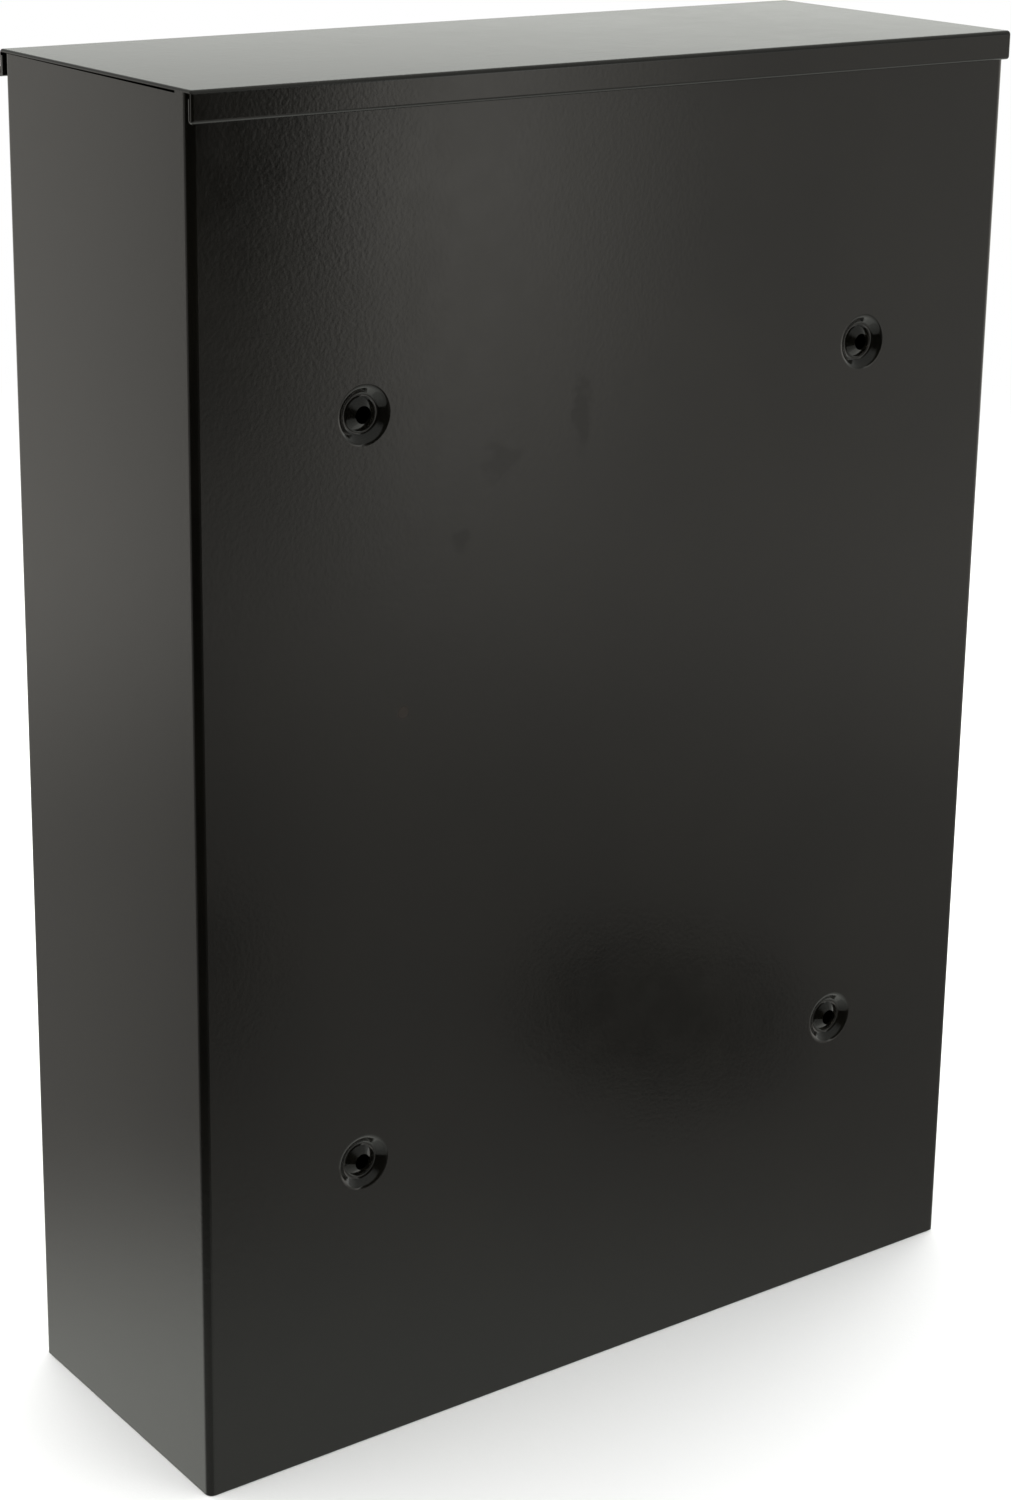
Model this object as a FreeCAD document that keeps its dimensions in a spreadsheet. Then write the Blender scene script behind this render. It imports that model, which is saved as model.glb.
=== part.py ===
"""Wall mounted steel mailbox: folded case, fixed roof, hinged door with a cam lock, letter slot with a flap.

Wall frame: +Y points into the wall and Y = 0 is the wall, +Z is up, and the front faces -Y. The origin is on
the wall, in the middle of the four fixing holes. Case frame: the same directions, from the middle of the back
panel's lower edge. Sizes are in millimetres.
"""
import FreeCAD, Part
import os
import Sketcher

DIMENSIONS = (
    ("width", 315, "case, side to side"),
    ("depth", 110, "case, back panel to front face"),
    ("height", 445, "lower edge of the case to the top of the roof"),
    ("gauge", 0.9, "steel sheet"),
    ("bend", 2.5, "outside radius of the case's upright bends"),
    ("fold", 1.6, "outside radius of the smaller folds"),
    ("wall_gap", 2.4, "back panel to the wall, which is the thickness of the roof's rear hem"),
    ("hole_low", 101, "lower edge of the case to the lower fixing holes"),
    ("hole_rise", 244.5, "lower fixing holes to the upper ones"),
    ("hole_span", 198, "left fixing holes to the right ones"),
    ("hole_bore", 5.5, "fixing hole, diameter"),
    ("dish_rim", 17.6, "pressed dish round a fixing hole, diameter at the back panel"),
    ("dish_round", 2, "pressed dish, radius of its rim"),
    ("groove_wide", 11.8, "pressed dish, diameter of the groove at its lowest"),
    ("groove_deep", 2.4, "pressed dish, back panel to the corner of the groove"),
    ("groove_round", 1.2, "pressed dish, radius in the groove"),
    ("cone_tip", 0.3, "back panel to the tip of the cone in the middle of the dish"),
    ("frame_face", 14, "front frame, face width at each side"),
    ("jamb_deep", 15.9, "front frame, depth of the jambs"),
    ("stop_wide", 8, "front frame, width of the door stops"),
    ("sill_high", 14, "lower edge of the case to the top of the sill"),
    ("ledge_deep", 14, "depth of the folds above and below the door"),
    ("floor_lift", 1, "lower edge of the case to the underside of the floor"),
    ("tab_high", 10, "weld tabs, height or depth"),
    ("rear_tab_wide", 284, "weld tab at the rear of the floor, side to side"),
    ("side_tab_wide", 66, "weld tabs at the sides of the floor, front to back"),
    ("drain_bore", 5, "drain holes in the floor, diameter"),
    ("drain_side", 95, "middle of the case to the drain holes"),
    ("drain_rear", 22, "back panel to the rear drain holes"),
    ("drain_front", 82, "back panel to the front drain holes"),
    ("rail_low", 384, "lower edge of the case to the door's head rail"),
    ("shelf_high", 393, "lower edge of the case to the shelf below the flap"),
    ("recess", 8, "front face of the case to the slot plate behind the flap"),
    ("slot_wide", 260, "letter slot"),
    ("slot_low", 397, "lower edge of the case to the letter slot"),
    ("slot_high", 30, "letter slot"),
    ("gap_rear", 0.7, "gap under the roof's side edge, at the rear"),
    ("gap_front", 0.15, "gap under the roof's side edge, at the front"),
    ("gap_end", 7, "back panel to the rear end of that gap"),
    ("flange_high", 9.5, "roof's rear flange"),
    ("lip_high", 8, "roof's front lip"),
    ("lip_reach", 3.2, "roof's front lip, beyond the front face"),
    ("lip_thick", 2, "roof's front lip, both layers of its hem"),
    ("bulb", 3.1, "rolled lower edge of the front lip, diameter"),
    ("bulb_lift", 1.1, "lower edge of the front lip to the middle of its rolled edge"),
    ("hem_high", 7, "inner layers of the roof's hems"),
    ("hem_round", 1.15, "radius of the rear flange's lower edge"),
    ("roof_bend", 1.4, "outside radius of the roof's front and rear bends"),
    ("roof_edge", 0.7, "radius of the roof's end edges, on the outside"),
    ("door_gap", 1.5, "gap round the door"),
    ("door_deep", 12, "door, depth of its folded edges"),
    ("door_return", 8, "door, width of its inner returns"),
    ("hinge_in", 6, "door's hinge edge to the hinge axis"),
    ("hinge_back", 5, "front face to the hinge axis"),
    ("pin_bore", 4, "hinge pins, diameter"),
    ("pin_head", 6.4, "hinge pins, head diameter"),
    ("pin_head_high", 1.6, "hinge pins, head height"),
    ("pin_over", 2.7, "hinge pins, length beyond the gap round the door"),
    ("bush_body", 6, "hinge bushes, outside diameter"),
    ("bush_flange", 9, "hinge bushes, flange diameter"),
    ("bush_long", 1.8, "hinge bushes, length behind the flange"),
    ("running", 0.05, "clearance on the radius of a turning fit"),
    ("clearance", 0.3, "clearance between parts that pass each other"),
    ("rod_bore", 3, "flap rod, diameter"),
    ("rod_back", 4.6, "front face to the flap rod's axis"),
    ("rod_high", 431.5, "lower edge of the case to the flap rod's axis"),
    ("rod_over", 3.6, "flap rod, length beyond each jamb's face"),
    ("rod_round", 0.4, "flap rod, radius of its ends' edges"),
    ("clip_wide", 6.8, "push-on rings of the flap rod, outside diameter"),
    ("curl_mouth", 1, "gap between the flap and the end of its curl"),
    ("flap_lip", 5, "flap's finger lip"),
    ("flap_side", 1.4, "gap at each end of the flap"),
    ("bumper_base", 8, "rubber bumpers, diameter at the base"),
    ("bumper_top", 6.4, "rubber bumpers, diameter at the top"),
    ("bumper_up", 45, "sill or head rail to the door bumpers"),
    ("flap_bumper_in", 5, "jambs to the flap bumpers"),
    ("flap_bumper_up", 5, "lower edge of the letter slot to the flap bumpers"),
    ("lock_in", 20, "door's opening edge to the lock's axis"),
    ("lock_high", 235, "lower edge of the case to the lock's axis"),
    ("barrel_wide", 18, "lock body, barrel diameter"),
    ("barrel_flats", 16, "lock body, across its two flats"),
    ("barrel_deep", 16.7, "lock body, door face to its rear end"),
    ("lock_head", 22.4, "lock body, head diameter"),
    ("lock_face", 20.2, "lock body, diameter of the head's front face"),
    ("lock_edge", 1, "lock body, height of the head's straight edge"),
    ("head_thick", 2.2, "lock body, height of the head"),
    ("plug_wide", 12, "lock plug, diameter"),
    ("plug_face", 14, "lock plug, diameter of its front flange"),
    ("plug_seat", 0.9, "door face to the seat of the plug's flange"),
    ("plug_edge", 0.4, "lock plug, chamfer of its front flange"),
    ("key_wide", 1.8, "keyway, width"),
    ("key_high", 8.4, "keyway, height"),
    ("key_deep", 9, "keyway, depth"),
    ("tail_wide", 7, "lock plug, across its square tail"),
    ("tap_deep", 8.5, "lock plug, depth of the tapped hole"),
    ("nut_flats", 23, "lock nut, across flats"),
    ("nut_thick", 3.6, "lock nut"),
    ("lock_washer_wide", 23.4, "lock washer, outside diameter"),
    ("cam_near", 17, "door face to the cam"),
    ("cam_thick", 2, "cam"),
    ("cam_reach", 28, "cam, lock axis to its tip"),
    ("cam_wide", 14, "cam"),
    ("cam_washer_wide", 11.2, "cam washer, outside diameter"),
    ("screw_bore", 4, "cam screw, diameter"),
    ("screw_long", 8, "cam screw, length under its head"),
    ("screw_head", 8, "cam screw, head diameter"),
    ("screw_face", 5.6, "cam screw, diameter of the head's flat top"),
    ("screw_edge", 1.6, "cam screw, height of the head's straight edge"),
    ("screw_high", 2.5, "cam screw, height of its head"),
    ("cross_long", 4.2, "cam screw, length of the cross recess"),
    ("cross_wide", 1, "cam screw, width of the cross recess"),
    ("cross_deep", 1.5, "cam screw, depth of the cross recess"),
)

BACK = "0"
FRONT = "(-Dims.depth)"
HALF_WIDTH = "(Dims.width / 2)"
ROOF_UNDER = "(Dims.height - Dims.gauge)"
JAMB = "(Dims.width / 2 - Dims.frame_face)"
FLOOR_TOP = "(Dims.floor_lift + Dims.gauge)"
DOOR_SIDE = f"({JAMB} - Dims.door_gap)"
DOOR_LOW = "(Dims.sill_high + Dims.door_gap)"
DOOR_HIGH = "(Dims.rail_low - Dims.door_gap)"
HINGE_X = f"(-{DOOR_SIDE} + Dims.hinge_in)"
HINGE_Y = f"({FRONT} + Dims.hinge_back)"
LOCK_X = f"({DOOR_SIDE} - Dims.lock_in)"
BARREL_HOLE = "(Dims.barrel_wide + 2 * Dims.running)"
CASE_LOW = "(-Dims.hole_low - Dims.hole_rise / 2)"
AT_CASE = ("0", "-Dims.wall_gap", CASE_LOW)
AT_ROD = ("0", f"-Dims.wall_gap + {FRONT} + Dims.rod_back", f"{CASE_LOW} + Dims.rod_high")
AT_LOCK = (LOCK_X, f"-Dims.wall_gap + {FRONT}", f"{CASE_LOW} + Dims.lock_high")

doc = FreeCAD.newDocument("WallMailbox")
sheet = doc.addObject("Spreadsheet::Sheet", "Dims")
for row, (alias, size, meaning) in enumerate(DIMENSIONS, start=1):
    sheet.set(f"A{row}", meaning)
    sheet.set(f"B{row}", str(size))
    sheet.setAlias(f"B{row}", alias)
doc.recompute()

parts = []


def value(expression):
    """An expression over the sheet's dimensions as a number."""
    return float(sheet.evalExpression(str(expression)))


# ---------------------------------------------------------------- drawing tools


def new_body(name, home):
    """A sub-part as a body, with its own origin at three expressions in the wall frame."""
    body = doc.addObject("PartDesign::Body", name)
    body.Label = name
    for letter, place in zip("xyz", home):
        body.setExpression(f"Placement.Base.{letter}", place)
    parts.append(body)
    return body


def new_sketch(body, plane, shift=("0", "0", "0")):
    """A sketch on one of the body's origin planes, moved by shift along the plane's own x, y and normal."""
    sketch = body.newObject("Sketcher::SketchObject", body.Name + "_sketch")
    support = next(p for p in body.Origin.OriginFeatures if p.Role == plane)
    sketch.AttachmentSupport = (support, [""])
    sketch.MapMode = "FlatFace"
    for letter, distance in zip("xyz", shift):
        sketch.setExpression(f"AttachmentOffset.Base.{letter}", distance)
    return sketch


def constrain(sketch, kind, references, expression):
    """Add a dimension to a sketch and bind it to an expression."""
    index = sketch.addConstraint(Sketcher.Constraint(kind, *references, value(expression)))
    sketch.setExpression(f"Constraints[{index}]", expression)


def pin_point(sketch, geometry, point, place):
    """Hold one point of a sketch at two expressions."""
    for kind, axis, expression in (("DistanceX", -2, place[0]), ("DistanceY", -1, place[1])):
        if abs(value(expression)) < 1e-9:
            sketch.addConstraint(Sketcher.Constraint("PointOnObject", geometry, point, axis))
        else:
            constrain(sketch, kind, (-1, 1, geometry, point), expression)


def draw_polygon(sketch, corners):
    """A closed outline with straight sides and its corners at pairs of expressions."""
    points = [FreeCAD.Vector(value(x), value(y), 0) for x, y in corners]
    first = sketch.GeometryCount
    count = len(points)
    for start, end in zip(points, points[1:] + points[:1]):
        sketch.addGeometry(Part.LineSegment(start, end), False)
    for side in range(count):
        following = first + (side + 1) % count
        sketch.addConstraint(Sketcher.Constraint("Coincident", first + side, 2, following, 1))
        pin_point(sketch, first + side, 1, corners[side])


def draw_rectangle(sketch, x_low, x_high, y_low, y_high):
    draw_polygon(sketch, ((x_low, y_low), (x_high, y_low), (x_high, y_high), (x_low, y_high)))


def draw_bar(sketch, wide, high):
    """A rectangle in the middle of the sketch."""
    draw_rectangle(sketch, f"-{wide} / 2", f"{wide} / 2", f"-{high} / 2", f"{high} / 2")


def draw_square(sketch, side):
    draw_bar(sketch, side, side)


def draw_circle(sketch, place, diameter):
    centre = FreeCAD.Vector(value(place[0]), value(place[1]), 0)
    normal = FreeCAD.Vector(0, 0, 1)
    circle = sketch.addGeometry(Part.Circle(centre, normal, value(diameter) / 2), False)
    pin_point(sketch, circle, 3, place)
    constrain(sketch, "Diameter", (circle,), diameter)


def draw_flatted_circle(sketch, diameter, flats):
    """A circle about the sketch's origin with its left and right sides cut to a width across flats."""
    radius = value(diameter) / 2
    flat = value(flats) / 2
    rise = (radius**2 - flat**2) ** 0.5
    corners = ((flat, -rise), (flat, rise), (-flat, rise), (-flat, -rise))
    points = [FreeCAD.Vector(x, y, 0) for x, y in corners]
    top = FreeCAD.Vector(0, radius, 0)
    sketch.addGeometry(Part.LineSegment(points[0], points[1]), False)
    sketch.addGeometry(Part.Arc(points[1], top, points[2]), False)
    sketch.addGeometry(Part.LineSegment(points[2], points[3]), False)
    sketch.addGeometry(Part.Arc(points[3], -top, points[0]), False)
    for first, point, second, other in ((0, 2, 1, 1), (1, 2, 2, 1), (2, 2, 3, 1), (3, 2, 0, 1)):
        sketch.addConstraint(Sketcher.Constraint("Coincident", first, point, second, other))
    for line in (0, 2):
        sketch.addConstraint(Sketcher.Constraint("Vertical", line))
    for arc in (1, 3):
        sketch.addConstraint(Sketcher.Constraint("Coincident", arc, 3, -1, 1))
    constrain(sketch, "Radius", (1,), f"{diameter} / 2")
    constrain(sketch, "DistanceX", (-1, 1, 0, 1), f"{flats} / 2")
    constrain(sketch, "DistanceX", (-1, 1, 2, 1), f"-{flats} / 2")


def other_face(path):
    """The second face of a folded sheet; path is the first, with the sheet on its right as it is walked."""
    places = [(value(x), value(y)) for x, y in path]
    rights = [(0, 0)]
    for (x0, y0), (x1, y1) in zip(places, places[1:]):
        length = abs(x1 - x0) + abs(y1 - y0)
        rights.append((round((y1 - y0) / length), round((x0 - x1) / length)))
    rights.append((0, 0))
    face = []
    for (x, y), before, after in zip(path, rights, rights[1:]):
        across, up = before[0] + after[0], before[1] + after[1]
        face.append((f"{x} + {across} * Dims.gauge", f"{y} + {up} * Dims.gauge"))
    return face


def draw_sheet_section(sketch, path):
    """The section of a folded sheet, one face of which is path."""
    draw_polygon(sketch, list(path) + other_face(path)[::-1])


# ---------------------------------------------------------------- solid tools


def add_feature(body, kind, sketch, **sizes):
    """A feature made from a sketch, with its sizes bound to expressions; it has to change the volume."""
    before = body.Shape.Volume if body.Tip else 0.0
    feature = body.newObject(f"PartDesign::{kind}", f"{body.Name}_{kind}")
    feature.Profile = sketch
    for name, size in sizes.items():
        if isinstance(size, str):
            feature.setExpression(name, size)
        else:
            setattr(feature, name, size)
    doc.recompute()
    change = body.Shape.Volume - before
    assert abs(change) > 1e-3, f"{feature.Name} changes nothing"
    assert (change > 0) == (kind in ("Pad", "Revolution")), f"{feature.Name} goes the wrong way"
    return feature


def add_pad(body, sketch, length, both_ways=False):
    return add_feature(body, "Pad", sketch, Length=length, Midplane=both_ways)


def add_pocket(body, sketch, length, both_ways=False, reverse=False):
    return add_feature(body, "Pocket", sketch, Length=length, Midplane=both_ways, Reversed=reverse)


def turn_outline(body, kind, corners, shift=("0", "0", "0")):
    """Turn an outline of (radius, Y) corners about the body's Y axis, as material or as a cut."""
    sketch = new_sketch(body, "XY_Plane", shift)
    draw_polygon(sketch, corners)
    return add_feature(body, kind, sketch, ReferenceAxis=(sketch, ["V_Axis"]), Angle=360.0)


def add_fillet(body, edges, radius):
    """Round the named edges of the body's last feature."""
    assert edges, f"{body.Name} has no such edges"
    fillet = body.newObject("PartDesign::Fillet", body.Name + "_fillet")
    fillet.Base = (fillet.BaseFeature, edges)
    fillet.setExpression("Radius", radius)
    doc.recompute()
    return fillet


def named_edges(body, wanted):
    """Names of the edges of a body's last feature that a test picks."""
    edges = enumerate(body.Tip.Shape.Edges, start=1)
    return [f"Edge{number}" for number, edge in edges if wanted(edge)]


def circles_at(body, diameter, level):
    """Full circles of one diameter at one Y."""
    radius, y = value(f"{diameter} / 2"), value(level)

    def wanted(edge):
        whole = len(edge.Vertexes) == 1 and hasattr(edge.Curve, "Radius")
        return whole and abs(edge.Curve.Radius - radius) < 1e-3 and abs(edge.Curve.Center.y - y) < 1e-3

    return named_edges(body, wanted)


def edges_along(body, axis, places):
    """Straight edges along one axis that pass through places, given by the other two coordinates."""
    others = [i for i in range(3) if i != "XYZ".index(axis)]
    spots = [(value(u), value(v)) for u, v in places]

    def wanted(edge):
        start, end = edge.Vertexes[0].Point, edge.Vertexes[-1].Point
        if (start - end).Length < 1e-3:
            return False
        return any(
            all(abs(point[i] - spot[k]) < 1e-3 for point in (start, end) for k, i in enumerate(others))
            for spot in spots
        )

    return named_edges(body, wanted)


def round_folds(body, path):
    """Round both faces of every fold of a sheet section that was padded along X."""
    places = [(value(x), value(y)) for x, y in path]
    outside, inside = [], []
    folds = zip(places, places[1:], places[2:], path[1:], other_face(path)[1:])
    for (x0, y0), (x1, y1), (x2, y2), near, far in folds:
        turns_left = (x1 - x0) * (y2 - y1) > (y1 - y0) * (x2 - x1)
        outside.append(far if turns_left else near)
        inside.append(near if turns_left else far)
    add_fillet(body, edges_along(body, "X", outside), "Dims.fold")
    add_fillet(body, edges_along(body, "X", inside), "Dims.fold - Dims.gauge")


def hollow(body, axis, open_ends):
    """Turn a block into a sheet shell, open on the flat faces that lie at the given places on an axis."""
    letter = "XYZ".index(axis)
    places = [value(place) for place in open_ends]
    faces = []
    for number, face in enumerate(body.Tip.Shape.Faces, start=1):
        box = face.BoundBox
        low, high = (box.XMin, box.YMin, box.ZMin)[letter], (box.XMax, box.YMax, box.ZMax)[letter]
        if high - low < 1e-6 and any(abs(low - place) < 1e-3 for place in places):
            faces.append(f"Face{number}")
    shell = body.newObject("PartDesign::Thickness", body.Name + "_shell")
    shell.Base = (shell.BaseFeature, faces)
    shell.setExpression("Value", "Dims.gauge")
    shell.Mode = "Skin"
    shell.Join = "Arc"
    shell.Reversed = True
    doc.recompute()


# ---------------------------------------------------------------- case


def press_dish(body, side, level):
    """A fixing hole at the tip of a cone, which stands in a round dish that is pressed into the back panel.

    Seen from inside the case the cone is the countersink for the screw's head.
    """
    centre = (f"{side} * Dims.hole_span / 2", BACK, level)
    opening = new_sketch(body, "XZ_Plane", (centre[0], centre[2], "0"))
    draw_circle(opening, ("0", "0"), "Dims.dish_rim")
    add_pocket(body, opening, "2 * Dims.gauge", both_ways=True)
    outside = (
        ("Dims.dish_rim / 2 + Dims.gauge", BACK),
        ("Dims.dish_rim / 2", BACK),
        ("Dims.groove_wide / 2", "-Dims.groove_deep"),
        ("Dims.hole_bore / 2", "-Dims.cone_tip"),
    )
    inside = [(radius, f"{y} - Dims.gauge") for radius, y in reversed(outside)]
    turn_outline(body, "Revolution", (*outside, *inside), centre)


def soften_dishes(body):
    """Round the rims and grooves of the dishes on both faces of the sheet."""
    bends = (
        ("Dims.dish_rim", BACK, "Dims.dish_round", -1),
        ("Dims.groove_wide", "-Dims.groove_deep", "Dims.groove_round", 1),
    )
    for diameter, level, radius, inner in bends:
        add_fillet(body, circles_at(body, diameter, level), radius)
        inside = circles_at(body, diameter, f"{level} - Dims.gauge")
        add_fillet(body, inside, f"({radius} + {inner} * Dims.gauge)")


def make_body_shell():
    """Back, sides and front frame, folded from one sheet."""
    body = new_body("body_shell", AT_CASE)
    plan = new_sketch(body, "XY_Plane")
    draw_rectangle(plan, f"-{HALF_WIDTH}", HALF_WIDTH, FRONT, BACK)
    add_pad(body, plan, ROOF_UNDER)
    corners = [(f"{side}{HALF_WIDTH}", y) for side in ("", "-") for y in (FRONT, BACK)]
    add_fillet(body, edges_along(body, "Z", corners), "Dims.bend")
    hollow(body, "Z", ("0", ROOF_UNDER))

    front_opening = new_sketch(body, "XZ_Plane", ("0", "0", "Dims.depth"))
    draw_rectangle(front_opening, f"-{JAMB}", JAMB, "0", ROOF_UNDER)
    add_pocket(body, front_opening, "2 * Dims.gauge", both_ways=True)

    stop_y = f"{FRONT} + Dims.jamb_deep"
    for side in ("", "-"):
        jamb = new_sketch(body, "XY_Plane", ("0", "0", FLOOR_TOP))
        draw_rectangle(jamb, f"{side}{JAMB}", f"{side}({JAMB} + Dims.gauge)", FRONT, stop_y)
        add_pad(body, jamb, f"{ROOF_UNDER} - {FLOOR_TOP}")
        stop = new_sketch(body, "XY_Plane", ("0", "0", "Dims.sill_high"))
        stop_edge = f"{side}({JAMB} - Dims.stop_wide)"
        draw_rectangle(stop, stop_edge, f"{side}({JAMB} + Dims.gauge / 2)", f"{stop_y} - Dims.gauge", stop_y)
        add_pad(body, stop, "Dims.rail_low - Dims.sill_high")

    rod_holes = new_sketch(body, "YZ_Plane")
    draw_circle(rod_holes, (f"{FRONT} + Dims.rod_back", "Dims.rod_high"), "Dims.rod_bore")
    add_pocket(body, rod_holes, f"2 * {JAMB} + 4 * Dims.gauge", both_ways=True)

    roof_gap = new_sketch(body, "YZ_Plane")
    gap_end = "-Dims.gap_end"
    gap_outline = (
        (FRONT, ROOF_UNDER),
        (FRONT, f"{ROOF_UNDER} - Dims.gap_front"),
        (gap_end, f"{ROOF_UNDER} - Dims.gap_rear"),
        (gap_end, ROOF_UNDER),
    )
    draw_polygon(roof_gap, gap_outline)
    add_pocket(body, roof_gap, "Dims.width", both_ways=True)

    for side in (-1, 1):
        for level in ("Dims.hole_low", "(Dims.hole_low + Dims.hole_rise)"):
            press_dish(body, side, level)
    soften_dishes(body)


def make_roof_panel():
    """Roof sheet with a hemmed front lip, which ends in a rolled edge, and a hemmed rear flange."""
    body = new_body("roof_panel", AT_CASE)
    lip_front = f"{FRONT} - Dims.lip_reach"
    lip_back = f"{lip_front} + Dims.lip_thick"
    lip_low = "Dims.height - Dims.lip_high"
    flange_low = "Dims.height - Dims.flange_high"
    path = (
        (lip_back, f"{lip_low} + Dims.hem_high - Dims.gauge"),
        (lip_back, lip_low),
        (lip_front, lip_low),
        (lip_front, "Dims.height"),
        ("Dims.wall_gap", "Dims.height"),
        ("Dims.wall_gap", flange_low),
        (BACK, flange_low),
        (BACK, f"{flange_low} + Dims.hem_high"),
    )
    section = new_sketch(body, "YZ_Plane")
    draw_sheet_section(section, path)
    add_pad(body, section, "Dims.width", both_ways=True)
    add_fillet(body, edges_along(body, "X", path[3:5]), "Dims.roof_bend")
    under = "Dims.height - Dims.gauge"
    inner = ((f"{lip_front} + Dims.gauge", under), ("Dims.wall_gap - Dims.gauge", under))
    add_fillet(body, edges_along(body, "X", inner), "Dims.roof_bend - Dims.gauge")
    add_fillet(body, edges_along(body, "X", path[5:7]), "Dims.hem_round")
    ends = ((HALF_WIDTH, "Dims.height"), (f"-({HALF_WIDTH})", "Dims.height"))
    add_fillet(body, edges_along(body, "Y", ends), "Dims.roof_edge")
    middle = (f"{lip_back} - Dims.bulb / 2", f"{lip_low} + Dims.bulb_lift")
    roll = new_sketch(body, "YZ_Plane")
    draw_circle(roll, middle, "Dims.bulb")
    draw_circle(roll, middle, "Dims.bulb - 2 * Dims.gauge")
    add_pad(body, roll, "Dims.width", both_ways=True)


def make_bottom_panel():
    """Floor of the case, with weld tabs at the back and sides and a sill at the front."""
    body = new_body("bottom_panel", AT_CASE)
    inner_side = f"({HALF_WIDTH} - Dims.gauge)"
    inner_front = f"{FRONT} + Dims.gauge"
    plan = new_sketch(body, "XY_Plane", ("0", "0", "Dims.floor_lift"))
    draw_rectangle(plan, f"-{inner_side}", inner_side, inner_front, "-Dims.gauge")
    add_pad(body, plan, "Dims.gauge")
    corners = [(f"{side}{inner_side}", y) for side in ("", "-") for y in (inner_front, "-Dims.gauge")]
    add_fillet(body, edges_along(body, "Z", corners), "Dims.bend")

    ledge_y = f"{FRONT} + Dims.ledge_deep"
    path = (
        (f"{inner_front} + Dims.gauge", "Dims.floor_lift"),
        (FRONT, "Dims.floor_lift"),
        (FRONT, "Dims.sill_high"),
        (ledge_y, "Dims.sill_high"),
    )
    sill = new_sketch(body, "YZ_Plane")
    draw_sheet_section(sill, path)
    add_pad(body, sill, f"2 * {JAMB}", both_ways=True)
    add_fillet(body, edges_along(body, "X", path[1:3]), "Dims.fold")
    inner_fold = ((inner_front, "Dims.sill_high - Dims.gauge"),)
    add_fillet(body, edges_along(body, "X", inner_fold), "Dims.fold - Dims.gauge")

    tabs_top = "Dims.floor_lift + Dims.tab_high"
    rear_tab = new_sketch(body, "YZ_Plane")
    draw_rectangle(rear_tab, "-2 * Dims.gauge", "-Dims.gauge", "Dims.floor_lift", tabs_top)
    add_pad(body, rear_tab, "Dims.rear_tab_wide", both_ways=True)
    for side in ("", "-"):
        side_tab = new_sketch(body, "XZ_Plane", ("0", "0", "Dims.depth / 2"))
        tab_inner = f"{side}({inner_side} - Dims.gauge)"
        draw_rectangle(side_tab, tab_inner, f"{side}{inner_side}", "Dims.floor_lift", tabs_top)
        add_pad(body, side_tab, "Dims.side_tab_wide", both_ways=True)

    drains = new_sketch(body, "XY_Plane", ("0", "0", "Dims.floor_lift"))
    for side in (-1, 1):
        for back in ("Dims.drain_front", "Dims.drain_rear"):
            draw_circle(drains, (f"{side} * Dims.drain_side", f"-{back}"), "Dims.drain_bore")
    add_pocket(body, drains, "4 * Dims.gauge", both_ways=True)
    cut_bush_hole(body, "Dims.sill_high")


def cut_bush_hole(body, level):
    """A round hole for a hinge bush in the fold above or below the door."""
    hole = new_sketch(body, "XY_Plane", ("0", "0", level))
    draw_circle(hole, (HINGE_X, HINGE_Y), "Dims.bush_body")
    add_pocket(body, hole, "4 * Dims.gauge", both_ways=True)


def make_slot_fascia():
    """Head rail above the door, shelf, and the set-back plate with the letter slot, in one folded sheet."""
    body = new_body("slot_fascia", AT_CASE)
    ledge_y = f"{FRONT} + Dims.ledge_deep"
    plate_y = f"{FRONT} + Dims.recess"
    path = (
        (ledge_y, "Dims.rail_low"),
        (FRONT, "Dims.rail_low"),
        (FRONT, "Dims.shelf_high"),
        (plate_y, "Dims.shelf_high"),
        (plate_y, ROOF_UNDER),
        (f"{plate_y} + Dims.ledge_deep", ROOF_UNDER),
    )
    section = new_sketch(body, "YZ_Plane")
    draw_sheet_section(section, path)
    add_pad(body, section, f"2 * {JAMB}", both_ways=True)
    round_folds(body, path)

    for side in ("", "-"):
        tab = new_sketch(body, "XY_Plane", ("0", "0", "Dims.slot_low"))
        tab_inner = f"{side}({JAMB} - Dims.gauge)"
        draw_rectangle(tab, tab_inner, f"{side}{JAMB}", plate_y, f"{plate_y} + Dims.tab_high")
        add_pad(body, tab, "Dims.slot_high")

    slot = new_sketch(body, "XZ_Plane", ("0", "0", f"-({plate_y})"))
    half_slot = "(Dims.slot_wide / 2)"
    slot_top = "Dims.slot_low + Dims.slot_high"
    draw_rectangle(slot, f"-{half_slot}", half_slot, "Dims.slot_low", slot_top)
    add_pocket(body, slot, "4 * Dims.gauge", both_ways=True)
    corners = [(f"{side}{half_slot}", z) for side in ("", "-") for z in ("Dims.slot_low", slot_top)]
    add_fillet(body, edges_along(body, "Y", corners), "Dims.fold")
    cut_bush_hole(body, "Dims.rail_low")


# ---------------------------------------------------------------- flap


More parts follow.
